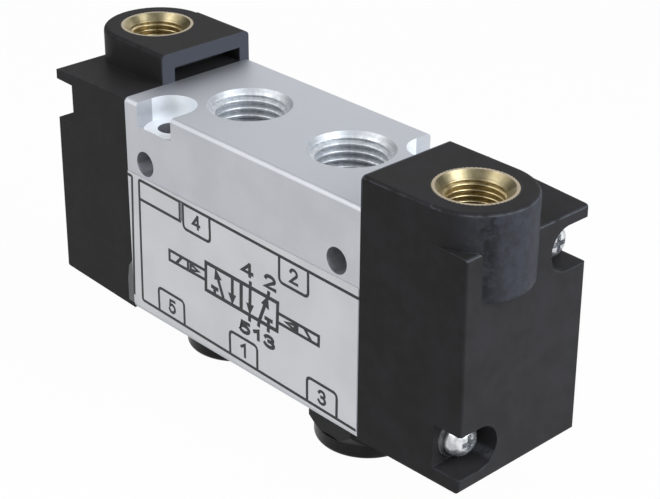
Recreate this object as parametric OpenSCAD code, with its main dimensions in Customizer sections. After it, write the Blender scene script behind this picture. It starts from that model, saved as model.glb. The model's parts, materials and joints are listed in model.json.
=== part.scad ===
// Double pilot valve: a 5/2 spool valve shifted by air at either end.
// X runs along the spool, Y from front to back, Z up.
// The origin is the centre of the bottom face's middle port.

/* [Valve body] */
// Length of the body between the two pilot caps
body_l = 56; // [52:0.5:64]
// Depth of the body from front face to back face
body_d = 27; // [26:0.5:32]
// Height of the body
body_h = 39.5; // [38.5:0.5:44]
// Rounding of the body's four long edges
body_edge_r = 0.8; // [0.3:0.1:1.5]

/* [Ports] */
// Major radius of the thread in the five main ports
port_r = 6.58; // [5.8:0.01:6.8]
// Radius of a port's countersunk mouth
port_mouth_r = 7.1; // [6.9:0.05:7.5]
// Depth of a main port
port_depth = 9.6; // [8:0.1:10]
// Distance of the two top ports from the middle
top_port_x = 12; // [11:0.25:14]
// Distance of the two outer bottom ports from the middle
bottom_port_x = 16.5; // [16:0.25:18]
// Radius of the drilling from a port to its gallery
feed_r = 2.6; // [1.5:0.1:3]
// How far a top port's drilling may run past the side of its gallery
feed_over = 1.6; // [0:0.1:2]
// Wall left between a drilling's end and the spool bore
feed_wall = 0.3; // [0.2:0.05:0.5]

/* [Mounting holes] */
// Radius of the two holes through the body from front to back
side_hole_r = 2.2; // [1.6:0.05:2.6]
// Distance of a side hole from the body's end
side_hole_end = 4.9; // [4:0.1:5.5]
// Height of the side holes
side_hole_z = 29.1; // [28.8:0.1:29.8]
// Radius of the two vertical holes through the body
foot_hole_r = 2.25; // [1.6:0.05:2.4]
// Distance of a vertical hole from the body's end
foot_hole_end = 7.65; // [7.4:0.05:8.4]
// Distance of a vertical hole from the nearer long face
foot_hole_edge = 3.6; // [3.2:0.1:4]
// Radius of the scallop milled round a vertical hole's upper mouth
scallop_r = 4.45; // [4:0.05:5]
// Depth of the scallop below the body's top
scallop_drop = 4; // [3:0.1:4.2]

/* [Spool] */
// Radius of the spool bore
bore_r = 6; // [5.5:0.05:6.2]
// Height of the spool bore
bore_z = 19.5; // [19:0.1:20]
// Radius of the galleries round the bore
gallery_r = 7.5; // [7:0.1:7.8]
// Width of each gallery
gallery_w = 4.2; // [3.6:0.1:4.4]
// Travel of the spool between its two stops
stroke = 4.1; // [3.6:0.1:4.2]
// Length of the spool
spool_l = 50; // [48.5:0.25:51]
// Radius of the spool's necks, where the air passes
neck_r = 3.4; // [2.6:0.1:4]
// Distance of the end seals from the spool's end
end_seal_in = 3; // [2.4:0.1:3.6]
// Width of a spool seal
seal_w = 1.7; // [1.2:0.1:2]
// Radius of the seal grooves in the spool
seal_groove_r = 4.3; // [4:0.1:4.6]
// Width of the land left on each side of a seal
land_edge = 0.6; // [0.4:0.1:1]

/* [Pilot caps] */
// Length of a pilot cap along the spool, at its foot
cap_l = 20.9; // [20.5:0.1:24]
// How far the cap's end face leans in at the top
cap_lean = 0.5; // [0:0.05:0.8]
// Draft of the cap's long faces over its length
cap_draft = 0.45; // [0.2:0.05:0.6]
// Draft of the cap's top over its length
cap_top_draft = 0.75; // [0.2:0.05:0.9]
// Draft of the cap's underside over its length
cap_foot_draft = 0.25; // [0.1:0.05:0.6]
// Rounding of the cap's upper and lower edges
cap_edge_r = 0.8; // [0.2:0.1:1]
// Rounding of the cap's upright edges
cap_corner_r = 0.5; // [0.2:0.1:1]
// Rise of the pilot port boss above the body's top
boss_rise = 5.1; // [4:0.1:7]
// Radius of the boss's round end
boss_r = 9.3; // [8.6:0.05:9.4]
// Distance of the pilot port's axis from the joint face
boss_x = 13.2; // [12.8:0.1:13.8]
// Distance of the pilot port's axis from the flush long face
boss_y = 9.6; // [9.5:0.05:10.2]
// Height of the underside of the boss where it stands proud of the end face
boss_foot_z = 30.8; // [26:0.1:32]
// Depth of the cored slot in the boss's inner face
slot_depth = 4.6; // [3:0.1:4.8]
// Width of the cored slot
slot_w = 14.3; // [12:0.1:14.6]
// Height of the cored slot above the body's top
slot_h = 2.5; // [2:0.1:3.2]
// Wall between the cored slot and the flush long face
slot_wall = 2.05; // [1.8:0.05:2.3]
// Radius of the air passage from the pilot port to the piston
pilot_feed_r = 1.4; // [1:0.1:1.6]
// Height of the passage into the piston bore above the spool axis
pilot_feed_rise = 2.5; // [2:0.1:4]

/* [Pilot port inserts] */
// Outer radius of the knurled insert
insert_r = 6.35; // [6:0.05:6.5]
// Length of the insert
insert_l = 9.5; // [8:0.25:10]
// Major radius of the pilot port thread
pilot_r = 4.86; // [4.5:0.02:5]
// Radius of the insert's countersunk mouth
pilot_mouth_r = 5.8; // [5.1:0.05:5.9]
// Number of knurl ridges
knurl_count = 60; // [30:2:60]
// Height of the knurl ridges
knurl_h = 0.15; // [0.15:0.05:0.4]

/* [Cap screws] */
// Radius of the screw's thread
screw_r = 1.5; // [1.25:0.05:1.6]
// Length of the screw under its head
screw_l = 20; // [19.5:0.5:20.5]
// Radius of the screw's pan head
screw_head_r = 2.8; // [2.4:0.1:3]
// Height of the screw's pan head
screw_head_h = 2.6; // [2:0.1:2.8]
// Height of the head's straight edge
head_edge_h = 0.6; // [0.3:0.1:0.9]
// Radius of the flat on top of the head
head_flat_r = 1; // [0.6:0.1:1.4]
// Width of the slots of the head's cross recess
recess_w = 0.85; // [0.6:0.05:1]
// Length of the cross recess's slots
recess_l = 2.9; // [2:0.1:3.4]
// Depth of the cross recess
recess_h = 1.3; // [0.8:0.1:1.6]
// Distance of a screw from the cap's nearer long face
screw_y = 4.8; // [4.6:0.1:5]
// Distance of a screw from the nearer of the top and the bottom
screw_z = 6.3; // [6.1:0.1:6.6]
// Radius of the pocket's round end, about the screw
pocket_r = 3.7; // [3.6:0.05:3.9]
// Depth of the pocket from the cap's end face
pocket_depth = 5.3; // [4.8:0.1:5.6]
// Depth of the tapped hole in the body
tapped_depth = 5; // [4.5:0.1:5.2]
// Outer radius of the washer
washer_r = 3.4; // [3:0.05:3.5]
// Thickness of the washer
washer_t = 0.5; // [0.4:0.05:0.6]

/* [Pilot pistons] */
// Radius of the piston bore in the cap
piston_bore_r = 9; // [8.5:0.1:9.1]
// Thickness of the piston's head
piston_t = 5; // [4.6:0.1:5.2]
// Radius of the stem that pushes the spool
stem_r = 3.6; // [3:0.1:4]
// Width of the lip seal
lip_w = 2.8; // [2.4:0.1:3]
// Radius of the lip seal's groove in the piston
lip_groove_r = 6.4; // [6:0.1:6.8]
// Thickness of the lip seal's two lips
lip_t = 0.8; // [0.6:0.05:1]
// Width of the heel that joins the lips
lip_heel_w = 1.25; // [1:0.05:1.5]
// Chamfer of the piston's edges
piston_edge = 0.4; // [0.2:0.05:0.6]
// Inner radius of the sealing ring in the cap's joint face
ring_r = 10; // [9.9:0.1:10.2]
// Thickness of the sealing ring
ring_t = 1.5; // [1.2:0.1:1.6]

/* [Exhaust silencers] */
// Size of the silencer's hexagon across its flats
hex_af = 17; // [16:0.5:18]
// Height of the hexagon
hex_h = 3.7; // [3:0.1:5]
// Height of the chamfer on the hexagon's lower corners
hex_chamfer_h = 1.85; // [1:0.05:2.2]
// Chamfer of the hexagon's upper corners
hex_top_edge = 0.5; // [0.2:0.1:0.8]
// Radius of the round cover
cover_r = 8.75; // [8:0.05:9]
// Height of the round cover
cover_h = 2.7; // [2.2:0.1:4]
// Wall of the cover
cover_wall = 0.9; // [0.7:0.05:1.2]
// Rounding of the cover's edge
cover_edge_r = 0.7; // [0.3:0.1:0.9]
// Number of slots in the cover's face
slot_count = 12; // [6:1:16]
// Length of a slot in the cover's face
cover_slot_l = 2.6; // [1.6:0.1:3]
// Width of a slot in the cover's face
cover_slot_w = 0.9; // [0.6:0.1:1.2]
// Distance of the slots' middle from the cover's centre
slot_ring_r = 5.4; // [4.6:0.1:6]
// Length of the silencer's threaded neck
silencer_neck_l = 8; // [6:0.1:8]
// Radius of the silencer's air way
silencer_way_r = 4.4; // [3.5:0.1:4.8]
// How far the silencer of port 3 stands off the body
port_3_stand_off = 3.6; // [0:0.1:4]
// How far the silencer of port 5 stands off the body
port_5_stand_off = 0.1; // [0:0.1:4]
// Thickness of the silencer's porous disc
element_t = 0.8; // [0.5:0.05:0.9]

/* [Label] */
// Thickness of the label film
film_t = 0.1; // [0.05:0.05:0.2]
// Distance of the film from the body's bottom
film_z = 1; // [0.9:0.1:2]
// Height of the film
film_h = 25.4; // [20:0.1:25.5]
// How far the film's lower corner runs over the left cap
film_over = 1.5; // [0:0.1:2]
// Height of that corner, from the film's lower edge
film_corner_h = 8.4; // [4:0.1:12]
// Distance of the film from the right cap
film_in = 0.1; // [0:0.1:1]

/* [Fits] */
// Radial clearance of a thread or a pin in its hole
thread_fit = 0.05; // [0.03:0.01:0.1]
// Radial clearance of a seal in its bore
seal_fit = 0.05; // [0.03:0.01:0.1]
// Radial clearance of the spool and the piston heads in their bores
guide_fit = 0.3; // [0.3:0.05:0.4]
// Clearance of a piece in its seat
seat_fit = 0.03; // [0.02:0.01:0.05]
// Gap left at each end stop of the pistons
stop_gap = 0.2; // [0.1:0.05:0.4]
// Clearance of a cap screw in the cap
screw_play = 0.2; // [0.15:0.05:0.3]

/* [Hidden] */
$fn = 96;

// Overrun of a cut past the face it opens
cut = 0.5;
// Number of steps in a rounded edge's quarter turn
arc_steps = 6;

// Colours as the photograph shows them
aluminium = [0.72, 0.74, 0.76];
black_plastic = [0.17, 0.17, 0.18];
brass = [0.80, 0.68, 0.38];
bright_zinc = [0.86, 0.87, 0.88];
black_rubber = [0.08, 0.08, 0.08];
white_acetal = [0.90, 0.90, 0.86];
film_grey = [0.80, 0.82, 0.84];
felt_white = [0.88, 0.87, 0.82];

// Where the pieces meet
front_y = -body_d / 2;
joint_x = body_l / 2;
foot_hole_x = body_l / 2 - foot_hole_end;
foot_hole_y = body_d / 2 - foot_hole_edge;
gallery_pitch = bottom_port_x / 2;
boss_axis_y = front_y + boss_y;
boss_top = body_h + boss_rise;
screw_seat_x = cap_l - pocket_depth;
screw_places = [[front_y + screw_y, screw_z], [-front_y - screw_y, body_h - screw_z]];

// The spool at rest lies against its left stop
spool_x = -stroke / 2;
spool_r = bore_r - guide_fit;
inner_seal_x = stroke / 2;
outer_seal_x = 1.5 * gallery_pitch + stroke / 2;
end_seal_x = spool_l / 2 - end_seal_in;
seal_places = [-end_seal_x, -outer_seal_x, -inner_seal_x, inner_seal_x, outer_seal_x, end_seal_x];
land_side = seal_w / 2 + land_edge;

// The piston heads run in a bore that is as deep as their travel needs
piston_bore_l = stroke + piston_t + 2 * stop_gap;
stem_l = joint_x + stop_gap + stroke - (spool_l / 2 + stroke / 2);

// The porous disc is held between the cover's floor and the rim on the silencer's body
silencer_bottom = -(hex_h + cover_h);
rim_h = cover_h - cover_wall - element_t - seat_fit;

// A quarter turn or less of an arc as points
function arc(c, r, a0, a1) =
    [for (i = [0:arc_steps]) let (a = a0 + (a1 - a0) * i / arc_steps) c + r * [cos(a), sin(a)]];

// Turns a profile whose second axis is the turning axis so that it runs along X
module along_x(x = 0) {
    translate([x, 0, 0]) rotate([0, 90, 0]) children();
}

// Places something both as drawn and turned half round about Z
module both_turned() {
    for (a = [0, 180]) rotate([0, 0, a]) children();
}

// The body's section, an extruded bar with rounded long edges
module body_section() {
    x = body_d / 2 - body_edge_r;
    union() {
        translate([-body_d / 2, body_edge_r]) square([body_d, body_h - 2 * body_edge_r]);
        translate([-x, 0]) square([2 * x, body_h]);
        for (sx = [-1, 1], z = [body_edge_r, body_h - body_edge_r])
            translate([sx * x, z]) circle(r = body_edge_r, $fn = 32);
    }
}

// A threaded port with its countersunk mouth, opening at z = 0 and running down
module port_cut(r, mouth_r, depth) {
    rotate_extrude() polygon([
        [0, cut], [mouth_r, cut], [mouth_r, 0], [r, r - mouth_r], [r, -depth], [0, -depth]
    ]);
}

// A top port, joined to its gallery by an offset drilling that stays clear of the next land
module top_port_cut() {
    feed_x = min(top_port_x, gallery_pitch + gallery_w / 2 + feed_over - feed_r);
    translate([top_port_x, 0, body_h]) port_cut(port_r, port_mouth_r, port_depth);
    translate([feed_x, 0, bore_z + bore_r + feed_wall])
        cylinder(r = feed_r, h = body_h - port_depth - bore_z - bore_r - feed_wall + cut);
}

module bottom_port_cut(x) {
    translate([x, 0, 0]) mirror([0, 0, 1]) port_cut(port_r, port_mouth_r, port_depth);
    translate([x, 0, port_depth - cut])
        cylinder(r = feed_r, h = bore_z - bore_r - feed_wall - port_depth + cut);
}

// A vertical mounting hole, with the scallop that makes room for its screw's head
module foot_cut() {
    translate([foot_hole_x, foot_hole_y, -cut]) cylinder(r = foot_hole_r, h = body_h);
    translate([foot_hole_x, foot_hole_y, body_h - scallop_drop]) {
        cylinder(r = scallop_r, h = scallop_drop + cut);
        translate([-scallop_r, 0, 0]) cube([2 * scallop_r, foot_hole_edge + cut, scallop_drop + cut]);
    }
}

module valve_body() {
    color(aluminium) difference() {
        translate([-body_l / 2, 0, 0]) rotate([90, 0, 90]) linear_extrude(body_l) body_section();
        translate([0, 0, bore_z]) {
            along_x(-body_l / 2 - cut) cylinder(r = bore_r, h = body_l + 2 * cut);
            for (i = [-2:2]) along_x(i * gallery_pitch - gallery_w / 2)
                cylinder(r = gallery_r, h = gallery_w);
        }
        both_turned() {
            top_port_cut();
            bottom_port_cut(bottom_port_x);
            foot_cut();
            translate([body_l / 2 - side_hole_end, 0, side_hole_z]) rotate([90, 0, 0])
                cylinder(r = side_hole_r, h = body_d + 2 * cut, center = true);
            for (p = screw_places) translate([joint_x - tapped_depth, p[0], p[1]]) along_x()
                cylinder(r = screw_r + thread_fit, h = tapped_depth + cut, $fn = 48);
        }
        bottom_port_cut(0);
    }
}

// The film's plain field. Its lower left corner runs a little way over the left cap, as it was stuck on.
module label_film() {
    outline = [
        [-film_over, 0], [body_l - film_in, 0], [body_l - film_in, film_h], [0, film_h],
        [0, film_corner_h], [-film_over * 2 / 3, film_corner_h * 5 / 6], [-film_over, film_corner_h / 2]
    ];
    color(film_grey) translate([-joint_x, front_y, film_z]) rotate([90, 0, 0])
        linear_extrude(film_t) polygon(outline);
}

// The cap's block: drafted faces and a leaning end face, with rounded edges where they meet
module cap_block() {
    d = body_d / 2;
    r = cap_edge_r;
    q = cap_corner_r;
    lean = atan2(cap_lean, body_h);
    intersection() {
        rotate([0, -lean, 0]) translate([0, 0, -cut]) linear_extrude(body_h + 2 * cut) polygon(concat(
            [[-cut, -d], [0, -d]], arc([cap_l - q, -d + cap_draft + q], q, -90, 0),
            arc([cap_l - q, d - cap_draft - q], q, 0, 90), [[0, d], [-cut, d]]));
        translate([0, d, 0]) rotate([90, 0, 0]) linear_extrude(body_d) polygon(concat(
            [[0, 0]], arc([cap_l - r, cap_foot_draft + r], r, -90, lean),
            arc([cap_l - cap_lean - r, body_h - cap_top_draft - r], r, lean, 90), [[0, body_h]]));
    }
}

// The D-shaped boss of the pilot port: a round end, and a straight part back to the joint face
module cap_boss() {
    r = cap_edge_r;
    far_y = boss_axis_y + boss_r;
    translate([boss_x, boss_axis_y, 0]) rotate_extrude() polygon(concat(
        [[0, boss_foot_z], [boss_r, boss_foot_z]],
        arc([boss_r - r, boss_top - r], r, 0, 90), [[0, boss_top]]));
    intersection() {
        translate([0, 0, body_h / 2]) linear_extrude(boss_top) polygon([
            [0, front_y], [boss_x, boss_axis_y - boss_r], [boss_x, far_y], [0, far_y]
        ]);
        rotate([90, 0, 90]) linear_extrude(boss_x) polygon(concat(
            [[front_y, body_h / 2]], [[far_y, body_h / 2]], arc([far_y - r, boss_top - r], r, 0, 90),
            arc([front_y + r, boss_top - r], r, 90, 180)));
    }
}

// The pocket of a cap screw, open at the end face and at the nearer long face
module screw_pocket(p) {
    side = sign(p[0]);
    translate([screw_seat_x, p[0], p[1]]) {
        along_x() cylinder(r = pocket_r, h = pocket_depth + cut);
        translate([0, side > 0 ? 0 : -screw_y - cut, -pocket_r])
            cube([pocket_depth + cut, screw_y + cut, 2 * pocket_r]);
    }
}

// The bore of the piston, the groove of the sealing ring round it and the passage from the pilot port
module piston_cut() {
    translate([0, 0, bore_z]) {
        along_x(-cut) cylinder(r = piston_bore_r, h = piston_bore_l + cut);
        along_x(-cut) difference() {
            cylinder(r = ring_r + ring_t + seat_fit, h = ring_t + cut);
            translate([0, 0, -cut]) cylinder(r = ring_r - seat_fit, h = ring_t + 3 * cut);
        }
    }
    feed_z = bore_z + pilot_feed_rise;
    translate([0, boss_axis_y, feed_z])
        along_x(piston_bore_l - cut) cylinder(r = pilot_feed_r, h = boss_x - piston_bore_l + cut, $fn = 48);
    translate([boss_x, boss_axis_y, feed_z - pilot_feed_r])
        cylinder(r = pilot_feed_r, h = boss_top - insert_l - feed_z + pilot_feed_r + cut, $fn = 48);
}

// A pilot cap with its joint face at x = 0. The left and right caps are the same moulding.
module cap() {
    color(black_plastic) difference() {
        union() {
            cap_block();
            cap_boss();
        }
        piston_cut();
        translate([boss_x, boss_axis_y, boss_top - insert_l])
            cylinder(r = insert_r + seat_fit, h = insert_l + cut);
        translate([-cut, front_y + slot_wall, body_h]) cube([slot_depth + cut, slot_w, slot_h]);
        for (p = screw_places) {
            screw_pocket(p);
            translate([0, p[0], p[1]]) along_x(-cut)
                cylinder(r = screw_r + screw_play, h = cap_l, $fn = 48);
        }
    }
}

// The threaded insert, knurled where the plastic grips it
module insert() {
    color(brass) translate([boss_x, boss_axis_y, boss_top - insert_l]) difference() {
        linear_extrude(insert_l) polygon([for (i = [0:2 * knurl_count - 1])
            (insert_r - (i % 2) * knurl_h) * [cos(180 * i / knurl_count), sin(180 * i / knurl_count)]]);
        translate([0, 0, insert_l]) port_cut(pilot_r, pilot_mouth_r, insert_l + cut);
    }
}

// The pan head screws, with a cross recess in each head
module cap_screws() {
    crown = screw_head_h - head_edge_h;
    color(bright_zinc) for (p = screw_places) translate([screw_seat_x + washer_t, p[0], p[1]]) {
        along_x(-screw_l) cylinder(r = screw_r, h = screw_l + cut, $fn = 48);
        difference() {
            along_x() rotate_extrude($fn = 64) polygon(concat(
                [[0, 0], [screw_head_r, 0]],
                [for (a = [0:15:90])
                    [head_flat_r + (screw_head_r - head_flat_r) * cos(a), head_edge_h + crown * sin(a)]],
                [[0, screw_head_h]]));
            for (a = [0, 90]) rotate([a, 0, 0])
                translate([screw_head_h - recess_h, -recess_w / 2, -recess_l / 2])
                    cube([recess_h + cut, recess_w, recess_l]);
        }
    }
}

module cap_washers() {
    color(bright_zinc) for (p = screw_places) translate([screw_seat_x, p[0], p[1]]) difference() {
        along_x() cylinder(r = washer_r, h = washer_t);
        along_x(-cut) cylinder(r = screw_r + screw_play / 2, h = washer_t + 2 * cut);
    }
}

// The sealing ring between a cap and the body, pressed flat by the joint
module cap_ring() {
    r = ring_t / 4;
    color(black_rubber) translate([0, 0, bore_z]) along_x() rotate_extrude() translate([ring_r, 0])
        polygon(concat(arc([r, r], r, 180, 270), arc([ring_t - r, r], r, 270, 360),
            arc([ring_t - r, ring_t - r], r, 0, 90), arc([r, ring_t - r], r, 90, 180)));
}

// The spool: lands that carry the seals, and necks that the air passes round
module spool() {
    centre_land = inner_seal_x + land_side;
    seal_half = seal_w / 2 + seat_fit;
    color(aluminium) translate([spool_x, 0, bore_z]) difference() {
        union() {
            along_x(-spool_l / 2) cylinder(r = neck_r, h = spool_l);
            along_x(-centre_land) cylinder(r = spool_r, h = 2 * centre_land);
            for (s = [-1, 1]) {
                along_x(s * outer_seal_x - land_side) cylinder(r = spool_r, h = 2 * land_side);
                along_x(s * (spool_l / 2 - end_seal_in / 2 - land_side / 2) - end_seal_in / 2 - land_side / 2)
                    cylinder(r = spool_r, h = end_seal_in + land_side);
            }
        }
        for (x = seal_places) along_x(x - seal_half) difference() {
            cylinder(r = spool_r + cut, h = 2 * seal_half);
            translate([0, 0, -cut]) cylinder(r = seal_groove_r, h = 2 * seal_half + 2 * cut);
        }
    }
}

// The spool's seals, each with a rounded running edge
module spool_seals() {
    r = seal_w / 3;
    out = bore_r - seal_fit;
    color(black_rubber) for (x = seal_places) translate([spool_x + x, 0, bore_z])
        along_x(-seal_w / 2) rotate_extrude() polygon(concat(
            [[seal_groove_r + seat_fit, 0]], arc([out - r, r], r, -90, 0),
            arc([out - r, seal_w - r], r, 0, 90), [[seal_groove_r + seat_fit, seal_w]]));
}

// A piston, drawn with its inner face at x = 0, its stem towards the spool and its head towards the cap's end
module piston() {
    edge = piston_edge;
    out = piston_bore_r - guide_fit;
    groove = [(piston_t - lip_w) / 2 - seat_fit, (piston_t + lip_w) / 2 + seat_fit];
    color(white_acetal) along_x() rotate_extrude() polygon([
        [0, -stem_l], [stem_r - edge, -stem_l], [stem_r, -stem_l + edge], [stem_r, 0],
        [out - edge, 0], [out, edge], [out, groove[0]], [lip_groove_r, groove[0]], [lip_groove_r, groove[1]],
        [out, groove[1]], [out, piston_t - edge], [out - edge, piston_t],
        [stem_r, piston_t], [stem_r - 2 * edge, piston_t - 2 * edge], [0, piston_t - 2 * edge]
    ]);
}

// The lip seal: a heel in the piston's groove, and a lip opening towards the pilot pressure
module piston_seal() {
    inner = lip_groove_r + seat_fit;
    out = piston_bore_r - seal_fit;
    heel = piston_bore_r - guide_fit;
    x0 = (piston_t - lip_w) / 2;
    color(black_rubber) along_x() rotate_extrude() polygon([
        [inner, x0], [heel, x0], [out, x0 + lip_w], [out - lip_t, x0 + lip_w],
        [heel - lip_t, x0 + lip_heel_w], [inner + lip_t, x0 + lip_heel_w],
        [inner + lip_t, x0 + lip_w], [inner, x0 + lip_w]
    ]);
}

// Where the pistons lie while the spool rests against its left stop
module at_left_piston() {
    translate([-joint_x - stop_gap - stroke, 0, bore_z]) rotate([0, 0, 180]) children();
}

module at_right_piston() {
    translate([joint_x + stop_gap, 0, bore_z]) children();
}

module at_right_cap() {
    translate([joint_x, 0, 0]) children();
}

module at_left_cap() {
    rotate([0, 0, 180]) at_right_cap() children();
}

// The silencer's body: a threaded neck, a hexagon chamfered below and the rim that holds the cover
module silencer_body() {
    hex_r = hex_af / 2 / cos(30);
    rim_r = cover_r - cover_wall - seat_fit;
    color(black_plastic) difference() {
        union() {
            cylinder(r = port_r - thread_fit, h = silencer_neck_l);
            intersection() {
                translate([0, 0, -hex_h]) cylinder(r = hex_r, h = hex_h, $fn = 6);
                translate([0, 0, -hex_h]) rotate_extrude() polygon([
                    [0, 0], [cover_r, 0], [hex_r, hex_chamfer_h], [hex_r, hex_h - hex_top_edge],
                    [hex_r - hex_top_edge, hex_h], [0, hex_h]
                ]);
            }
            translate([0, 0, -hex_h - rim_h]) cylinder(r = rim_r, h = rim_h + cut);
        }
        translate([0, 0, -hex_h - rim_h - cut])
            cylinder(r = silencer_way_r, h = hex_h + rim_h + silencer_neck_l + 2 * cut);
    }
}

// The porous disc that the exhaust air passes through
module silencer_element() {
    color(felt_white) translate([0, 0, silencer_bottom + cover_wall])
        cylinder(r = cover_r - cover_wall - 2 * seat_fit, h = element_t);
}

// The round cover, with a ring of slots in its face
module silencer_cover() {
    r = cover_edge_r;
    color(black_plastic) difference() {
        translate([0, 0, silencer_bottom]) rotate_extrude() polygon(concat(
            [[0, 0]], arc([cover_r - r, r], r, -90, 0), [[cover_r, cover_h], [0, cover_h]]));
        translate([0, 0, silencer_bottom + cover_wall]) cylinder(r = cover_r - cover_wall, h = cover_h);
        for (i = [0:slot_count - 1]) rotate([0, 0, 360 * i / slot_count])
            translate([slot_ring_r - cover_slot_l / 2, -cover_slot_w / 2, silencer_bottom - cut])
                cube([cover_slot_l, cover_slot_w, cover_wall + 2 * cut]);
    }
}

module at_port_3() {
    translate([bottom_port_x, 0, -port_3_stand_off]) children();
}

module at_port_5() {
    translate([-bottom_port_x, 0, -port_5_stand_off]) rotate([0, 0, 20]) children();
}

valve_body();
label_film();
at_left_cap() cap();  // pilot_cap_left
at_right_cap() cap();  // pilot_cap_right
at_left_cap() insert();  // pilot_insert_left
at_right_cap() insert();  // pilot_insert_right
at_left_cap() cap_screws();  // cap_screws_left
at_right_cap() cap_screws();  // cap_screws_right
at_left_cap() cap_washers();  // cap_washers_left
at_right_cap() cap_washers();  // cap_washers_right
at_left_cap() cap_ring();  // cap_ring_left
at_right_cap() cap_ring();  // cap_ring_right
spool();
spool_seals();
at_left_piston() piston();  // piston_left
at_right_piston() piston();  // piston_right
at_left_piston() piston_seal();  // piston_seal_left
at_right_piston() piston_seal();  // piston_seal_right
at_port_3() silencer_body();  // silencer_body_3
at_port_5() silencer_body();  // silencer_body_5
at_port_3() silencer_element();  // silencer_element_3
at_port_5() silencer_element();  // silencer_element_5
at_port_3() silencer_cover();  // silencer_cover_3
at_port_5() silencer_cover();  // silencer_cover_5
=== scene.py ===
"""Dresses the double pilot valve: its finishes, the threads in its ports and the print on its label film."""
import itertools
import json
import math

import bmesh
import bpy
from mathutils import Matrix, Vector


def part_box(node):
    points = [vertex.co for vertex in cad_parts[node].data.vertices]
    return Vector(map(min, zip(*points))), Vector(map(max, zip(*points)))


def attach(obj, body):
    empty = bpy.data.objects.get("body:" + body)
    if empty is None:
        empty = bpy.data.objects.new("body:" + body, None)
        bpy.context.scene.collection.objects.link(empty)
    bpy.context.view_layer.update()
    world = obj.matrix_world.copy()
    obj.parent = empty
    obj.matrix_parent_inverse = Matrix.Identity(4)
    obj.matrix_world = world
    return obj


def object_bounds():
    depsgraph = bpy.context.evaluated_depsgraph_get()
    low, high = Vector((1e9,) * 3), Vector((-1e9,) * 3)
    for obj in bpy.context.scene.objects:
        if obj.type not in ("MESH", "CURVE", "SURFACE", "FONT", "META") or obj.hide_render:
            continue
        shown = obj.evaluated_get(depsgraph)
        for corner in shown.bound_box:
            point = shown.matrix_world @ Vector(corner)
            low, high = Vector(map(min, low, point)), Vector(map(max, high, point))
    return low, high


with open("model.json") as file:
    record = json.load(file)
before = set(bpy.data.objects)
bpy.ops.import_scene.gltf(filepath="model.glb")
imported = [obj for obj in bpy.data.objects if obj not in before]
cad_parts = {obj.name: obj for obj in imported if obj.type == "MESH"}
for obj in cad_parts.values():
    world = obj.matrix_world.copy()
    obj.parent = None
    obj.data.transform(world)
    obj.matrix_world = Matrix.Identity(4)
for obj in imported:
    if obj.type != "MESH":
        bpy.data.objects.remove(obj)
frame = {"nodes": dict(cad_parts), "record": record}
cad_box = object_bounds()
nodes = frame["nodes"]

MM = 0.001


# Sizes from the CAD model, in millimetres

def corners(node):
    """A node's lowest and highest corners."""
    return [[v / MM for v in corner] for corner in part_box(node)]


def threaded_hole(name):
    """The place, radius and length of a threaded mount."""
    found = next(m for m in frame["record"]["mounts"] if m["name"] == name)
    return [v / MM for v in found["pos_m"]], found["dims"]["r_mm"], found["dims"]["length_mm"]


def opening(name):
    """The lowest and highest corners of an opening's box."""
    found = next(o for o in frame["record"]["physics"]["openings"] if o["name"] == name)
    return [[v / MM for v in corner] for corner in found["box_m"]]


BODY_X = corners("valve_body")[1][0]
BODY_TOP = corners("valve_body")[1][2]
FILM_FRONT = corners("label_film")[0][1]
(TOP_PORT_X, _, PORT_WALL_Z), PORT_R, PORT_LENGTH = threaded_hole("port_2")
PORT_MOUTH_DEPTH = BODY_TOP - PORT_WALL_Z
PORT_MOUTH_R = PORT_R + PORT_MOUTH_DEPTH
PORT_DEPTH = PORT_LENGTH + PORT_MOUTH_DEPTH
FOOT_PORT_X = sum(corner[0] for corner in corners("silencer_body_3")) / 2

INSERT_TOP = corners("pilot_insert_right")[1][2]
(INSERT_X, INSERT_Y, PILOT_WALL_Z), PILOT_R, _ = threaded_hole("pilot_port_12")
PILOT_MOUTH_R = PILOT_R + INSERT_TOP - PILOT_WALL_Z
BOSS_R = corners("pilot_cap_right")[1][0] - INSERT_X
BOSS_FOOT_Z = 30.8

# The opening in a scallop is a square about its axis, drawn out past the body's side. It starts just above
# the scallop's floor
SCALLOP_LOW, SCALLOP_HIGH = opening("foot_screw_scallop_right")
SCALLOP_X = (SCALLOP_LOW[0] + SCALLOP_HIGH[0]) / 2
SCALLOP_Y = SCALLOP_LOW[1] + (SCALLOP_HIGH[0] - SCALLOP_X)
SCALLOP_Z = SCALLOP_LOW[2] - 0.1
SCALLOP_R = 4.45
HEAD_FOOT_X = corners("cap_washers_right")[1][0]

# How far past a CAD face a point still counts as lying on it
NEAR = 0.02


# Shader expressions

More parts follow.
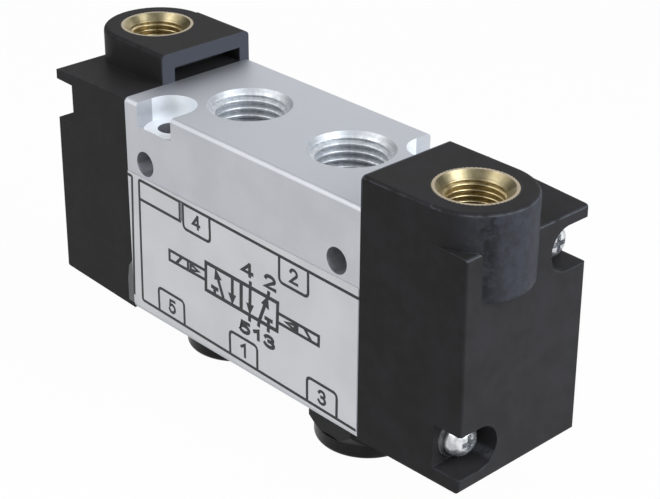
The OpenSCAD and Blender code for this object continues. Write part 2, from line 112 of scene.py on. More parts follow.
class Out:
    """A node's output that takes part in arithmetic: each operator adds a Math node."""

    def __init__(self, tree, socket):
        self.tree = tree
        self.socket = socket

    def node(self, kind, settings=None, inputs=None, out=0):
        """Any other node, made from its settings and from the values or links of its sockets."""
        made = self.tree.nodes.new(kind)
        for name, setting in (settings or {}).items():
            setattr(made, name, setting)
        for name, given in (inputs or {}).items():
            socket = made.inputs[name]
            if isinstance(given, Out):
                self.tree.links.new(given.socket, socket)
            else:
                socket.default_value = given
        return Out(self.tree, made.outputs[out])

    def maths(self, operation, *given):
        return self.node("ShaderNodeMath", {"operation": operation}, dict(enumerate(given)))

    def __add__(self, other):
        return self.maths("ADD", self, other)

    def __radd__(self, other):
        return self.maths("ADD", other, self)

    def __sub__(self, other):
        return self.maths("SUBTRACT", self, other)

    def __rsub__(self, other):
        return self.maths("SUBTRACT", other, self)

    def __mul__(self, other):
        return self.maths("MULTIPLY", self, other)

    def __rmul__(self, other):
        return self.maths("MULTIPLY", other, self)

    def __pow__(self, other):
        return self.maths("POWER", self, other)

    def __lt__(self, other):
        return self.maths("LESS_THAN", self, other)

    def __gt__(self, other):
        return self.maths("GREATER_THAN", self, other)

    def __abs__(self):
        return self.maths("ABSOLUTE", self)

    def larger(self, other):
        return self.maths("MAXIMUM", self, other)

    def step(self, low, high):
        """0 below low, 1 above high and smooth between them."""
        return self.node("ShaderNodeMapRange", {"interpolation_type": "SMOOTHSTEP"},
                         {"Value": self, "From Min": low, "From Max": high})

    def colours(self, low, high):
        """The first colour where this is 0, the second where it is 1."""
        return self.node("ShaderNodeMix", {"data_type": "RGBA"}, {0: self, 6: low, 7: high}, 2)

    def dot(self, other):
        return self.node("ShaderNodeVectorMath", {"operation": "DOT_PRODUCT"}, {0: self, 1: other}, "Value")


class Finish:
    """A material with one Principled shader. place is the object's own coordinates, in millimetres."""

    def __init__(self, name, **fixed):
        self.material = bpy.data.materials.new(name)
        self.material.use_nodes = True
        self.tree = self.material.node_tree
        self.shader = self.tree.nodes["Principled BSDF"]
        for key, value in fixed.items():
            self.shader.inputs[key.replace("_", " ")].default_value = value
        coords = self.start("ShaderNodeTexCoord", "Object")
        self.place = coords.node("ShaderNodeVectorMath", {"operation": "SCALE"}, {0: coords, "Scale": 1 / MM})
        xyz = self.tree.nodes.new("ShaderNodeSeparateXYZ")
        self.tree.links.new(self.place.socket, xyz.inputs[0])
        self.x, self.y, self.z = (Out(self.tree, socket) for socket in xyz.outputs)

    def start(self, kind, output):
        """One output of a node that has no inputs."""
        return Out(self.tree, self.tree.nodes.new(kind).outputs[output])

    def noise(self, size, detail=2.0, stretch=(1, 1, 1), roughness=0.5):
        """Noise from 0 to 1, whose features are about size millimetres."""
        place = self.place.node("ShaderNodeVectorMath", {"operation": "MULTIPLY"},
                                {0: self.place, 1: tuple(s / size for s in stretch)})
        return place.node("ShaderNodeTexNoise", None,
                          {"Vector": place, "Scale": 1.0, "Detail": detail, "Roughness": roughness})

    def feed(self, key, value):
        self.tree.links.new(value.socket, self.shader.inputs[key])

    def bump(self, height, depth, strength=1.0):
        """Raises the surface by up to depth millimetres where height is 1."""
        self.feed("Normal", height.node("ShaderNodeBump", None,
                                        {"Height": height, "Distance": depth * MM, "Strength": strength}))

    def upward(self, normal=None):
        """The height of a normal, or else of the surface's own: 1 where it looks straight up."""
        normal = normal or self.start("ShaderNodeNewGeometry", "Normal")
        return normal.dot((0.0, 0.0, 1.0))

    def edges(self, radius, low, high):
        """1 along the edges that look up, out to radius millimetres."""
        softened = self.place.node("ShaderNodeBevel", {"samples": 4}, {"Radius": radius * MM})
        facing = softened.dot(self.start("ShaderNodeNewGeometry", "Normal"))
        return (1 - facing).step(low, high) * self.upward(softened).step(0.1, 0.6)

    def rims(self, low=0.4, high=0.85):
        """1 on rounded edges, where the height of the normal lies between low and high."""
        up = self.upward()
        return up.step(low, low + 0.2) * (1 - up.step(high - 0.15, high))

    def around(self, x, y):
        """Distance from a vertical axis, in millimetres."""
        return ((self.x - x) ** 2 + (self.y - y) ** 2) ** 0.5

    def within(self, x, y, r):
        """1 inside a vertical cylinder and on its wall."""
        return self.around(x, y) < r + NEAR


def rgb(r, g, b):
    return (r, g, b, 1.0)


# Finishes

def body_aluminium():
    """Milled all over, turned and tapped in the ports, and brightest in the scallops. Its top is painted
    lighter and its rounded edges carry a painted highlight.
    """
    f = Finish("body_aluminium")
    cloud = f.noise(9, 3)
    lines = f.noise(0.5, 3, stretch=(0.02, 1, 1))
    grain = f.noise(0.12, 2)
    streaks = f.noise(1.3, 4, stretch=(1, 1, 0.3), roughness=0.65).step(0.32, 0.68)

    port_end = PORT_DEPTH + 0.1
    top_ports = sum(f.within(x, 0, PORT_MOUTH_R) for x in (-TOP_PORT_X, TOP_PORT_X))
    foot_ports = sum(f.within(x, 0, PORT_MOUTH_R) for x in (-FOOT_PORT_X, 0, FOOT_PORT_X))
    ports = top_ports * (f.z > BODY_TOP - port_end) + foot_ports * (f.z < port_end)
    mouths = (f.z > BODY_TOP - PORT_MOUTH_DEPTH) + (f.z < PORT_MOUTH_DEPTH)
    scallops = sum(f.within(s * SCALLOP_X, s * SCALLOP_Y, SCALLOP_R) for s in (-1, 1))
    scallops = scallops * (f.z > SCALLOP_Z - NEAR) * (f.z < BODY_TOP - NEAR)
    scallop_floor = scallops * (f.z < SCALLOP_Z + NEAR)
    outside = 1 - ports - scallops

    plain = cloud.step(0.3, 0.7).colours(rgb(0.492, 0.507, 0.539), rgb(0.538, 0.550, 0.580))
    # Faces that look up are painted lighter: painted light on the top face.
    level = f.upward().step(0.97, 0.995)
    plain_with_lit_top = level.colours(plain, rgb(0.55, 0.57, 0.61))
    tapped = streaks.colours(rgb(0.58, 0.605, 0.635), rgb(0.82, 0.84, 0.865))
    tapped = (mouths * 0.6).colours(tapped, rgb(0.53, 0.555, 0.585))
    cut = scallops.colours(ports.colours(plain_with_lit_top, tapped), rgb(0.88, 0.91, 0.94))
    # The rounded edges outside the ports and scallops are painted paler: a painted highlight along them.
    edge_highlight_paint = f.rims(0.15, 0.97) * outside * (0.6 + 0.4 * cloud)
    f.feed("Base Color", edge_highlight_paint.colours(cut, rgb(0.70, 0.72, 0.76)))
    f.feed("Metallic", 1 - 0.2 * scallops - 0.35 * scallop_floor)
    tapped_roughness = (0.62 - 0.16 * streaks) * ports
    scallop_roughness = 0.44 * scallops + 0.2 * scallop_floor
    f.feed("Roughness", (0.5 + 0.10 * lines) * outside + tapped_roughness + scallop_roughness)
    f.bump(lines * 0.6 + grain * 0.4, 0.006, 0.5)
    return f.material


def silver_film():
    """The label's ground, dark at its loose corner, which lies over the cap."""
    f = Finish("label_film", Roughness=0.38)
    cloud = f.noise(12, 3)
    grain = f.noise(0.3, 2)
    over_cap = f.x < -BODY_X
    ground = cloud.step(0.3, 0.7).colours(rgb(0.54, 0.555, 0.575), rgb(0.60, 0.605, 0.635))
    f.feed("Base Color", over_cap.colours(ground, rgb(0.09, 0.09, 0.095)))
    f.feed("Metallic", 0.85 - 0.85 * over_cap)
    f.bump(grain, 0.004, 0.4)
    return f.material


def cap_plastic():
    """Black moulding, with painted light on its inner face, edges that show wear and a painted highlight, and
    a painted sheen and a painted shade band on the boss's side."""
    f = Finish("cap_plastic", IOR=1.46, Specular_IOR_Level=0.06)
    cloud = f.noise(7, 4)
    scuffs = f.noise(2.2, 5, roughness=0.7)
    spark = f.noise(0.22, 3)
    at_right = f.x > 0
    at_left = f.x < 0

    mottle = (cloud * 0.6 + scuffs * 0.4).step(0.34, 0.66)
    ground = mottle.colours(rgb(0.0215, 0.0207, 0.0207), rgb(0.0285, 0.0277, 0.0297))
    # The inner face above the body's top is painted paler and bluer: painted light, bounced from the body's
    # bright top.
    inner_face_bounce = (abs(f.x) < BODY_X + 0.3) * (f.z > BODY_TOP + NEAR)
    ground = inner_face_bounce.colours(ground, rgb(0.058, 0.062, 0.076))

    from_boss = f.around(INSERT_X, INSERT_Y) * at_right + f.around(-INSERT_X, -INSERT_Y) * at_left
    boss_side = (from_boss > BOSS_R - 0.2) * (from_boss < BOSS_R + 0.03) * (f.z > BOSS_FOOT_Z)
    # The boss's side towards the cap's end is painted paler in patches: a painted sheen from the light on the
    # right.
    sheen_patches = f.noise(1.6, 5, roughness=0.75).step(0.35, 0.65)
    boss_sheen_paint = boss_side * (abs(f.x) - INSERT_X).step(2.0, 8.6) * (0.35 + 0.65 * sheen_patches)
    ground = boss_sheen_paint.colours(ground, rgb(0.040, 0.043, 0.052))

    # The two caps are one moulding turned half round: across is measured from the boss's axis, and is below 0
    # on the side of the face that the boss stands nearer to
    across = f.y * (2 * at_right - 1) - INSERT_Y
    # A dark band down the boss's side, where it turns from the end face towards the front face: painted
    # shade.
    band_off_axis = 4.9
    band_waver = 6
    off_band = abs(across + band_off_axis + band_waver * (scuffs - 0.5)).step(0.2, 1.5)
    shade_band_paint = boss_side * (1 - off_band) * (abs(f.x) > INSERT_X) * scuffs.step(0.3, 0.6)
    ground = (shade_band_paint * 0.75).colours(ground, rgb(0.012, 0.012, 0.013))

    # Pale on the edges that look up, in patches and most on the right cap, nearer the lamps: wear and a
    # painted highlight together.
    worn_and_highlit = f.rims().larger(f.edges(0.3, 0.03, 0.16)) * scuffs.step(0.35, 0.6)
    f.feed("Base Color", (worn_and_highlit * (0.3 + 0.5 * at_right)).colours(ground, rgb(0.085, 0.09, 0.10)))
    f.feed("Roughness", 0.46 + 0.16 * cloud)
    f.bump(spark, 0.02, 0.35)
    return f.material


def insert_brass():
    """Turned brass, brightest in the thread, painted darker on the chamfer as shade, and greyer on the rim.
    """
    f = Finish("insert_brass", Metallic=1.0)
    cloud = f.noise(3, 3)
    rings = f.noise(0.25, 2, stretch=(0.1, 0.1, 1))
    streaks = f.noise(1.2, 4, stretch=(1, 1, 0.3), roughness=0.65)
    streaks = (streaks * 0.7 + cloud * 0.3).step(0.36, 0.64)
    turned = streaks.colours(rgb(0.42, 0.34, 0.19), rgb(0.78, 0.66, 0.38))
    # The chamfer is painted darker than the thread: painted shade.
    chamfer = streaks.colours(rgb(0.35, 0.295, 0.17), rgb(0.45, 0.385, 0.235))
    # The chamfer cuts the first ridge of the thread as well, down to where it is 4.4 in radius
    chamfer_end_r = 4.4
    in_chamfer = f.z > INSERT_TOP - (PILOT_MOUTH_R - chamfer_end_r)
    on_rim = f.z > INSERT_TOP - 0.05
    f.feed("Base Color", on_rim.colours(in_chamfer.colours(turned, chamfer), rgb(0.43, 0.37, 0.265)))
    f.feed("Roughness", 0.30 + 0.10 * rings)
    f.bump(rings, 0.01, 0.2)
    return f.material


def bright_zinc():
    """Plated steel: bright washers, duller heads and painted shade in the joint between them."""
    f = Finish("bright_zinc", Metallic=0.85)
    cloud = f.noise(1.2, 3)
    off_centre = abs(f.x)
    on_washer = off_centre < HEAD_FOOT_X - 0.05
    # A dark ring just above the washer, under the head's edge: painted shade in the joint.
    shaded_joint = (off_centre > HEAD_FOOT_X - 0.05) * (off_centre < HEAD_FOOT_X + 0.3)
    plated = cloud.step(0.35, 0.65).colours(rgb(0.46, 0.47, 0.49), rgb(0.74, 0.75, 0.76))
    plated = on_washer.colours(plated, rgb(0.88, 0.89, 0.90))
    f.feed("Base Color", (shaded_joint * 0.8).colours(plated, rgb(0.06, 0.06, 0.06)))
    f.feed("Roughness", 0.18 + 0.2 * cloud)
    f.bump(f.noise(1.0, 0), 0.05, 0.4)
    return f.material


def silencer_plastic():
    f = Finish("silencer_plastic", Specular_IOR_Level=0.12)
    cloud = f.noise(4, 3)
    f.feed("Base Color", cloud.step(0.3, 0.7).colours(rgb(0.010, 0.010, 0.010), rgb(0.018, 0.018, 0.018)))
    f.feed("Roughness", 0.24 + 0.14 * cloud)
    f.bump(f.noise(0.3, 2), 0.01, 0.3)
    return f.material


def silencer_felt():
    f = Finish("silencer_felt", Roughness=0.95)
    fibres = f.noise(0.25, 4, roughness=0.7)
    f.feed("Base Color", fibres.step(0.3, 0.7).colours(rgb(0.42, 0.40, 0.36), rgb(0.76, 0.74, 0.68)))
    f.bump(fibres, 0.15)
    return f.material


def seal_rubber():
    f = Finish("seal_rubber")
    cloud = f.noise(0.8, 3)
    f.feed("Base Color", cloud.step(0.3, 0.7).colours(rgb(0.012, 0.012, 0.012), rgb(0.024, 0.024, 0.024)))
    f.feed("Roughness", 0.38 + 0.2 * cloud)
    f.bump(f.noise(0.2, 2), 0.01, 0.4)
    return f.material


def spool_aluminium():
    f = Finish("spool_aluminium", Metallic=1.0)
    turned = f.noise(0.15, 3, stretch=(1, 0.02, 0.02))
    f.feed("Base Color", turned.step(0.3, 0.7).colours(rgb(0.52, 0.53, 0.55), rgb(0.66, 0.67, 0.69)))
    f.feed("Roughness", 0.2 + 0.2 * turned)
    f.bump(turned, 0.008, 0.6)
    return f.material


def piston_acetal():
    f = Finish("piston_acetal", Roughness=0.42, Subsurface_Weight=0.1, Subsurface_Scale=0.5 * MM)
    turned = f.noise(0.2, 3, stretch=(1, 0.05, 0.05))
    f.feed("Base Color", turned.step(0.3, 0.7).colours(rgb(0.74, 0.74, 0.69), rgb(0.82, 0.82, 0.77)))
    f.bump(turned, 0.006, 0.5)
    return f.material


def black_ink():
    f = Finish("black_ink", Roughness=0.4, Specular_IOR_Level=0.25)
    cloud = f.noise(0.6, 2)
    f.feed("Base Color", cloud.step(0.3, 0.7).colours(rgb(0.022, 0.023, 0.026), rgb(0.036, 0.037, 0.041)))
    return f.material


def grey_ink():
    f = Finish("grey_ink", Roughness=0.4)
    cloud = f.noise(0.6, 2)
    f.feed("Base Color", cloud.step(0.3, 0.7).colours(rgb(0.14, 0.145, 0.15), rgb(0.18, 0.185, 0.19)))
    return f.material


FINISHES = {
    "body_aluminium": body_aluminium(),
    "label_film": silver_film(),
    "cap_plastic": cap_plastic(),
    "insert_brass": insert_brass(),
    "zinc_steel": bright_zinc(),
    "seal_rubber": seal_rubber(),
    "spool_aluminium": spool_aluminium(),
    "piston_acetal": piston_acetal(),
    "silencer_plastic": silencer_plastic(),
    "silencer_felt": silencer_felt(),
}
for part in frame["record"]["subparts"]:
    for material_slot in nodes[part["node"]].material_slots:
        material_slot.link = "OBJECT"
        material_slot.material = FINISHES[part["material_slot"]]


# Pieces

def add_piece(name, bm, material, slot, smooth):
    bmesh.ops.recalc_face_normals(bm, faces=bm.faces)
    # That can turn a long coil inside out, which shows in the sign of its volume
    if bm.calc_volume(signed=True) < 0:
        bmesh.ops.reverse_faces(bm, faces=bm.faces)
    mesh = bpy.data.meshes.new(name)
    bm.to_mesh(mesh)
    bm.free()
    for polygon in mesh.polygons:
        polygon.use_smooth = smooth
    mesh.materials.append(material)
    piece = bpy.data.objects.new(name, mesh)
    bpy.context.scene.collection.objects.link(piece)
    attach(piece, "valve")


# Threads: the ridge that stands in from the plain wall which the CAD model has at the major radius

STEPS_A_TURN = 96
SECTION_STEPS = 16
# Half of the ridge's width at its foot, in pitches
HALF_WIDTH = 0.48
# How much steeper its flanks are than those of a plain triangle, which leaves a flat crest
FLANK_RISE = 1.35
# Depth below the mouth above which no part of the ridge stands
TOP_DEPTH = 0.05
# How far the ridge's foot lies in the wall, and its top end behind the mouth's chamfer
SINK = 0.04
CHAMFER_SINK = 0.03
# The part of a turn over which the ridge runs out at its deep end, and the share of its height left there
RUN_OUT = 0.35
RUN_OUT_HEIGHT = 0.04

MAIN_THREAD = dict(wall_r=PORT_R, core_r=5.72, mouth_r=PORT_MOUTH_R, pitch=1.337,
                   first=0.0, last=8.9, slot="body_aluminium")
PILOT_THREAD = dict(wall_r=PILOT_R, core_r=4.28, mouth_r=PILOT_MOUTH_R, pitch=0.907,
                    first=0.4, last=9.0, slot="insert_brass")


def ease(t):
    t = min(max(t, 0.0), 1.0)
    return t * t * (3 - 2 * t)


def ridge_section(middle, grown, wall_r, core_r, mouth_r, pitch):
    """The radii and depths of the ridge's section whose middle lies at that depth. The mouth's 45 degree cone
    cuts the ridge as well, so that the thread starts inside that cone."""
    low = max(-HALF_WIDTH, (TOP_DEPTH - middle) / pitch)
    foot_r = wall_r + SINK
    for j in range(SECTION_STEPS + 1):
        along = low + (HALF_WIDTH - low) * j / SECTION_STEPS
        height = min(FLANK_RISE * (1 - abs(along) / HALF_WIDTH), 1) * grown
        depth = middle + pitch * along
        cone_r = mouth_r - depth
        if cone_r > wall_r - NEAR:
            cone_r += CHAMFER_SINK
        yield min(max(foot_r - (foot_r - core_r) * height, cone_r), max(wall_r, cone_r) + SINK), depth


def add_thread(name, centre, down, first, last, turned, slot, pitch, **radii):
    """The ridge of an internal right-hand thread, as one closed coil whose foot lies in the hole's wall.
    centre is the mouth's centre, down is 1 for a hole that runs down from it and -1 for one that runs up,
    first and last are the depths of the ridge's middle at its two ends, and turned its angle at the first."""
    turns = (last - first) / pitch
    count = round(turns * STEPS_A_TURN)
    bm = bmesh.new()
    rings = []
    for i in range(count + 1):
        t = turns * i / count
        angle = math.radians(turned) - down * 2 * math.pi * t
        grown = RUN_OUT_HEIGHT + (1 - RUN_OUT_HEIGHT) * ease((turns - t) / RUN_OUT)
        ring = []
        for r, depth in ridge_section(first + pitch * t, grown, pitch=pitch, **radii):
            x = centre[0] + r * math.cos(angle)
            y = centre[1] + r * math.sin(angle)
            z = centre[2] - down * depth
            ring.append(bm.verts.new((x * MM, y * MM, z * MM)))
        rings.append(ring)
    for a, b in zip(rings, rings[1:]):
        for j in range(SECTION_STEPS + 1):
            k = (j + 1) % (SECTION_STEPS + 1)
            bm.faces.new((a[j], a[k], b[k], b[j]))
    bm.faces.new(rings[0])
    bm.faces.new(rings[-1])
    add_piece(name, bm, FINISHES[slot], slot, smooth=True)


def add_threads():
    for number, x in ((4, -TOP_PORT_X), (2, TOP_PORT_X)):
        add_thread(f"thread_port_{number}", (x, 0, BODY_TOP), 1, turned=275, **MAIN_THREAD)
    add_thread("thread_port_1", (0, 0, 0), -1, turned=0, **MAIN_THREAD)
    for number, side in ((12, 1), (14, -1)):
        centre = (side * INSERT_X, side * INSERT_Y, INSERT_TOP)
        add_thread(f"thread_pilot_{number}", centre, 1, turned=0, **PILOT_THREAD)


add_threads()


# The print on the label film. Its places are millimetres in x and z, measured on the label's face

INK = 0.012
INK_RISE = 0.0002
# How far a line's free end runs on, in widths of the line
RUN_ON = 0.4
FRAME_LINE = 0.54
SYMBOL_LINE = 0.70
SQUARES_LINE = 0.80
PILOT_LINE = 0.56
CELL_DIGIT_LINE = 0.52
SYMBOL_DIGIT_LINE = 0.66
CELL_CORNER_R = 0.95
CELL_DIGIT_W = 1.65
CELL_DIGIT_H = 2.25
# How much the print's long lines rise for each millimetre along x
LEAN = -0.02
strokes = itertools.count()


def ink_depth():
    """The thickness of the next stroke: each is a little thicker, so that crossing strokes don't coincide."""
    return INK + INK_RISE * next(strokes)


def rounded(points, radii):
    """An open line with its corners rounded, each by its own radius."""
    line = []
    for i, point in enumerate(points):
        if radii[i] == 0:
            line.append(point)
            continue
        corner = Vector(point)
        start = corner + (Vector(points[i - 1]) - corner).normalized() * radii[i]
        end = corner + (Vector(points[i + 1]) - corner).normalized() * radii[i]
        for k in range(7):
            t = k / 6
            line.append(tuple((1 - t) ** 2 * start + 2 * t * (1 - t) * corner + t * t * end))
    return line


def lay_face(bm, outline):
    """A flat slab of ink with that outline."""
    y = FILM_FRONT - ink_depth()
    front = [bm.verts.new((x * MM, y * MM, z * MM)) for x, z in outline]
    back = [bm.verts.new((x * MM, FILM_FRONT * MM, z * MM)) for x, z in outline]
    bm.faces.new(front)
    bm.faces.new(back[::-1])
    for i in range(len(outline)):
        j = (i + 1) % len(outline)
        bm.faces.new((front[i], back[i], back[j], front[j]))


def stroke_sides(points, width, closed):
    """The two sides of a line of that width. Its corners are mitred, and its free ends run on a little."""
    n = len(points)
    left, right = [], []
    for i, p in enumerate(points):
        before = points[i - 1] if closed or i else None
        after = points[(i + 1) % n] if closed or i < n - 1 else None
        into = (after - p if before is None else p - before).normalized()
        out = into if after is None else (after - p).normalized()
        normal = Vector((-into.y, into.x))
        middle = normal + Vector((-out.y, out.x))
        middle = middle.normalized() if middle.length > 1e-6 else normal
        reach = width / 2 / max(middle.dot(normal), 0.45)
        run_on = Vector((0, 0))
        if before is None:
            run_on = -out * width * RUN_ON
        if after is None:
            run_on = into * width * RUN_ON
        left.append(p + middle * reach + run_on)
        right.append(p - middle * reach + run_on)
    return left, right


def lay_stroke(bm, points, width, closed=False):
    """A line of ink of that width along points."""
    sides = stroke_sides([Vector(p) for p in points], width, closed)
    front_l, front_r, back_l, back_r = (
        [bm.verts.new((q.x * MM, y * MM, q.y * MM)) for q in side]
        for y in (FILM_FRONT - ink_depth(), FILM_FRONT) for side in sides)
    n = len(points)
    for i in range(n if closed else n - 1):
        j = (i + 1) % n
        bm.faces.new((front_l[i], front_l[j], front_r[j], front_r[i]))
        bm.faces.new((back_l[i], back_r[i], back_r[j], back_l[j]))
        bm.faces.new((front_l[i], back_l[i], back_l[j], front_l[j]))
        bm.faces.new((front_r[i], front_r[j], back_r[j], back_r[i]))
    if not closed:
        bm.faces.new((front_l[0], front_r[0], back_r[0], back_l[0]))
        bm.faces.new((front_l[-1], back_l[-1], back_r[-1], front_r[-1]))


def bow(cx, cz, rx, rz, a0, a1, steps=12):
    angles = [math.radians(a0 + (a1 - a0) * i / steps) for i in range(steps + 1)]
    return [(cx + rx * math.cos(a), cz + rz * math.sin(a)) for a in angles]


# Each digit's strokes, in a square of side 1
DIGITS = {
    "1": [[(0.12, 0.74), (0.66, 1.0), (0.66, 0.0)]],
    "2": [bow(0.5, 0.72, 0.44, 0.28, 172, -28) + [(0.04, 0.0), (1.0, 0.0)]],
    "3": [bow(0.46, 0.76, 0.40, 0.24, 165, -98), bow(0.47, 0.27, 0.46, 0.27, 98, -165)],
    "4": [[(0.74, 0.0), (0.74, 1.0)], [(0.74, 0.98), (0.0, 0.27), (1.0, 0.27)]],
    "5": [[(0.94, 1.0), (0.24, 1.0), (0.12, 0.50)] + bow(0.48, 0.33, 0.46, 0.33, 128, -160)],
}


def lay_digit(bm, digit, x, z, w, h, width):
    for line in DIGITS[digit]:
        lay_stroke(bm, [(x + w * u, z + h * v) for u, v in line], width)


def lay_frame(bm):
    """The frame, open at the film's right end, the next frame's end at the left, and the bare cell."""
    frame_line = [(27.8, 24.72), (-24.95, 25.72), (-25.5, 2.55), (27.6, 1.5)]
    lay_stroke(bm, rounded(frame_line, [0, 0.5, 0.5, 0]), FRAME_LINE)
    next_frame = [(-27.9, 25.75), (-26.85, 25.73), (-27.55, 9.9), (-27.86, 2.9)]
    lay_stroke(bm, rounded(next_frame, [0, 0.3, 0, 0]), FRAME_LINE)
    bare_cell = [(-24.98, 22.16), (-14.2, 21.95), (-14.15, 25.5)]
    lay_stroke(bm, bare_cell, FRAME_LINE)


def lay_cell(bm, digit, left, right, outer, inner, digit_x, digit_z):
    """A numbered cell inside the frame. outer and inner are the heights of its left line's two ends, and
    digit_x and digit_z the digit's place from the cell's lower left corner."""
    fall = LEAN * (right - left)
    cell = [(left, outer), (left - 0.03, inner), (right + 0.03, inner + fall), (right, outer + fall)]
    lay_stroke(bm, rounded(cell, [0, CELL_CORNER_R, CELL_CORNER_R, 0]), FRAME_LINE)
    digit_foot = min(outer, inner) + digit_z
    lay_digit(bm, digit, left + digit_x, digit_foot, CELL_DIGIT_W, CELL_DIGIT_H, CELL_DIGIT_LINE)


def lay_cells(bm):
    lay_cell(bm, "4", -13.3, -6.5, 25.45, 21.0, 2.55, 1.15)
    lay_cell(bm, "2", 10.35, 16.95, 25.0, 20.5, 2.5, 1.05)
    lay_cell(bm, "5", -20.8, -13.95, 2.45, 7.0, 2.75, 1.0)
    lay_cell(bm, "1", -2.0, 4.8, 2.1, 6.5, 2.65, 0.95)
    lay_cell(bm, "3", 16.75, 23.5, 1.75, 6.2, 2.6, 0.95)


def lay_squares(bm):
    """The symbol's two squares, with the arrows and stops that stand for the spool's two places."""
    lay_stroke(bm, [(-7.73, 16.85), (9.95, 16.55), (9.72, 11.38), (-7.9, 11.68)], SYMBOL_LINE, closed=True)
    lay_stroke(bm, [(1.15, 16.7), (1.0, 11.5)], SQUARES_LINE)
    lay_stroke(bm, [(-3.35, 11.7), (-4.85, 15.3)], SYMBOL_LINE)
    lay_face(bm, [(-5.35, 16.7), (-5.65, 14.5), (-3.75, 15.05)])
    lay_stroke(bm, [(-1.05, 16.6), (-1.15, 13.4)], SYMBOL_LINE)
    lay_face(bm, [(-2.2, 13.6), (-1.2, 11.6), (-0.2, 13.65)])
    lay_stroke(bm, [(-6.25, 12.95), (-4.95, 12.9)], SYMBOL_LINE)
    lay_stroke(bm, [(-5.6, 12.9), (-5.65, 11.7)], SYMBOL_LINE)
    lay_stroke(bm, [(3.4, 17.5), (3.2, 13.4)], SYMBOL_LINE)
    lay_face(bm, [(2.3, 13.55), (3.1, 11.5), (4.2, 13.6)])
    lay_stroke(bm, [(3.1, 11.5), (3.05, 10.55)], SYMBOL_LINE)
    lay_stroke(bm, [(5.25, 10.5), (5.5, 11.6), (6.9, 15.0)], SYMBOL_LINE)
    lay_face(bm, [(7.65, 16.9), (5.95, 14.95), (7.85, 14.35)])
    lay_stroke(bm, [(7.62, 16.5), (7.82, 17.5)], SYMBOL_LINE)
    lay_stroke(bm, [(7.0, 12.6), (8.4, 12.55)], SYMBOL_LINE)
    lay_stroke(bm, [(7.7, 12.5), (7.6, 10.5)], SYMBOL_LINE)


def lay_pilots(bm):
    """The long box at each end of the squares, with its triangle for an air pilot."""
    lay_stroke(bm, [(-7.8, 15.25), (-17.35, 15.4), (-17.4, 13.55), (-7.85, 13.5)], PILOT_LINE)
    lay_stroke(bm, [(-15.6, 13.6), (-14.05, 15.3)], PILOT_LINE)
    lay_stroke(bm, [(-12.45, 15.3), (-12.5, 13.55)], PILOT_LINE)
    lay_stroke(bm, [(-11.75, 14.95), (-9.75, 14.35), (-11.8, 13.8)], PILOT_LINE, closed=True)
    lay_stroke(bm, [(9.9, 14.75), (19.4, 14.6), (19.35, 12.9), (9.85, 13.05)], PILOT_LINE)
    lay_stroke(bm, [(16.2, 14.5), (17.65, 13.05)], PILOT_LINE)
    lay_stroke(bm, [(14.5, 14.6), (14.45, 13.05)], PILOT_LINE)
    lay_stroke(bm, [(13.95, 14.3), (11.85, 13.85), (13.9, 13.35)], PILOT_LINE, closed=True)


def lay_symbol_digits(bm):
    lay_digit(bm, "4", 1.5, 18.6, 2.4, 2.05, SYMBOL_DIGIT_LINE)
    lay_digit(bm, "2", 6.95, 18.45, 2.4, 2.05, SYMBOL_DIGIT_LINE)
    lay_digit(bm, "5", 0.6, 7.7, 2.4, 1.85, SYMBOL_DIGIT_LINE)
    lay_digit(bm, "1", 3.95, 7.8, 1.8, 1.55, SYMBOL_DIGIT_LINE)
    lay_digit(bm, "3", 6.65, 7.6, 2.4, 1.9, SYMBOL_DIGIT_LINE)


def add_print():
    bm = bmesh.new()
    for lay in (lay_frame, lay_cells, lay_squares, lay_pilots, lay_symbol_digits):
        lay(bm)
    add_piece("label_print", bm, black_ink(), "label_film", smooth=False)
    bm = bmesh.new()
    band_right_of_bare_cell = [(-14.0, 25.5), (-13.45, 25.49), (-13.45, 22.1), (-14.05, 22.1)]
    lay_face(bm, band_right_of_bare_cell)
    add_piece("label_print_band", bm, grey_ink(), "label_film", smooth=False)


add_print()


# Floor, light and camera, in metres

FLOOR_SIZE = 8.0
FLAG_DISTANCE = 0.3
VALVE_MIDDLE = Vector((0, 0, 0.02))
# The photograph's camera, solved from corners and circles in it: turn in degrees, lens in millimetres
CAMERA_PLACE = (0.1838489, -0.1661683, 0.1459871)
CAMERA_TURN = (62.5774, -0.3814, 46.9304)
CAMERA_LENS = 92.463
SENSOR_WIDTH = 36.0


def seen_straight_or_mirrored(tree):
    """1 for rays from the camera, from gloss or through glass, and 0 for those that light a dull surface."""
    path = tree.nodes.new("ShaderNodeLightPath")
    camera, glossy, through = (Out(tree, path.outputs[f"Is {kind} Ray"])
                               for kind in ("Camera", "Glossy", "Transmission"))
    return camera.larger(glossy).larger(through)


def add_plane(name, width, height):
    x, y = width / 2, height / 2
    mesh = bpy.data.meshes.new(name)
    mesh.from_pydata([(-x, -y, 0), (x, -y, 0), (x, y, 0), (-x, y, 0)], [], [(0, 1, 2, 3)])
    plane = bpy.data.objects.new(name, mesh)
    bpy.context.scene.collection.objects.link(plane)
    material = bpy.data.materials.new(name)
    material.use_nodes = True
    mesh.materials.append(material)
    return plane, material.node_tree


def add_floor():
    """White as the photograph's ground, with a trace of shadow. It lights the valve as a pale card does."""
    floor, tree = add_plane("floor", FLOOR_SIZE, FLOOR_SIZE)
    floor.location.z = cad_box[0][2]
    tree.nodes.clear()
    seen = seen_straight_or_mirrored(tree)
    pale = seen.node("ShaderNodeBsdfDiffuse", None, {"Color": rgb(0.82, 0.82, 0.82)})
    white = seen.node("ShaderNodeEmission", None, {"Color": rgb(1, 1, 1), "Strength": 1.0})
    mixed = seen.node("ShaderNodeMixShader", None, {0: seen * 0.97, 1: pale, 2: white})
    output = tree.nodes.new("ShaderNodeOutputMaterial")
    tree.links.new(mixed.socket, output.inputs["Surface"])


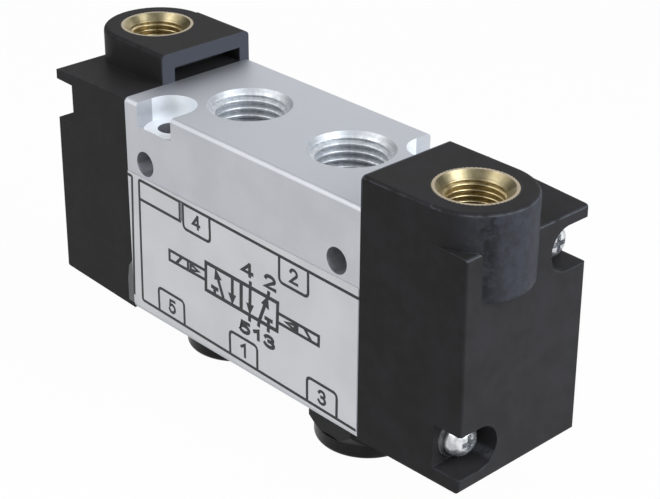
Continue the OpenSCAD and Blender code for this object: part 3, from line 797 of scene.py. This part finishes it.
def add_world():
    world = bpy.data.worlds.new("studio")
    bpy.context.scene.world = world
    world.use_nodes = True
    tree = world.node_tree
    lighting = 0.31
    backdrop = 1.0
    background = tree.nodes["Background"]
    background.inputs["Color"].default_value = rgb(1, 1, 1)
    strength = lighting + (backdrop - lighting) * seen_straight_or_mirrored(tree)
    tree.links.new(strength.socket, background.inputs["Strength"])


def aim_from(thing, azimuth, elevation, distance):
    """Puts a thing at that distance, turned to the valve: azimuth 0 faces the label, 90 the right end."""
    a, e = math.radians(azimuth), math.radians(elevation)
    place = Vector((math.sin(a) * math.cos(e), -math.cos(a) * math.cos(e), math.sin(e))) * distance
    thing.location = place
    thing.rotation_euler = (VALVE_MIDDLE - place).to_track_quat("-Z", "Y").to_euler()


def add_lamp(name, azimuth, elevation, distance, size, power, colour=(1, 1, 1)):
    lamp = bpy.data.lights.new(name, "AREA")
    lamp.shape = "RECTANGLE"
    lamp.size, lamp.size_y = size
    lamp.energy = power
    lamp.color = colour
    thing = bpy.data.objects.new(name, lamp)
    bpy.context.scene.collection.objects.link(thing)
    aim_from(thing, azimuth, elevation, distance)


def add_flag(name, azimuth, elevation, size, shade):
    """A grey card outside the picture, which the metal shows as a darker patch."""
    card, tree = add_plane(name, *size)
    aim_from(card, azimuth, elevation, FLAG_DISTANCE)
    card.visible_camera = False
    shader = tree.nodes["Principled BSDF"]
    shader.inputs["Base Color"].default_value = rgb(shade, shade, shade)
    shader.inputs["Roughness"].default_value = 1.0


def add_camera():
    camera = bpy.data.cameras.new("camera")
    camera.sensor_fit = "HORIZONTAL"
    camera.sensor_width = SENSOR_WIDTH
    camera.lens = CAMERA_LENS
    camera.clip_start = 0.01
    thing = bpy.data.objects.new("camera", camera)
    bpy.context.scene.collection.objects.link(thing)
    thing.location = CAMERA_PLACE
    thing.rotation_euler = [math.radians(a) for a in CAMERA_TURN]
    bpy.context.scene.camera = thing


add_floor()
add_world()
add_lamp("right_lamp", 108, 24, 0.7, size=(0.7, 0.5), power=5.2, colour=(0.88, 0.93, 1.0))
add_lamp("right_top_lamp", 104, 56, 0.6, size=(0.4, 0.4), power=1.7, colour=(0.93, 0.96, 1.0))
add_lamp("left_lamp", -6, 52, 0.6, size=(0.45, 0.45), power=1.8)
add_flag("flag_over_camera", 46.7, 68, size=(0.26, 0.6), shade=0.3)
add_flag("flag_left", -88, 24, size=(0.22, 0.2), shade=0.05)
add_flag("flag_behind", 158, 32, size=(0.26, 0.26), shade=0.12)
add_camera()
bpy.context.scene.view_settings.view_transform = "Standard"
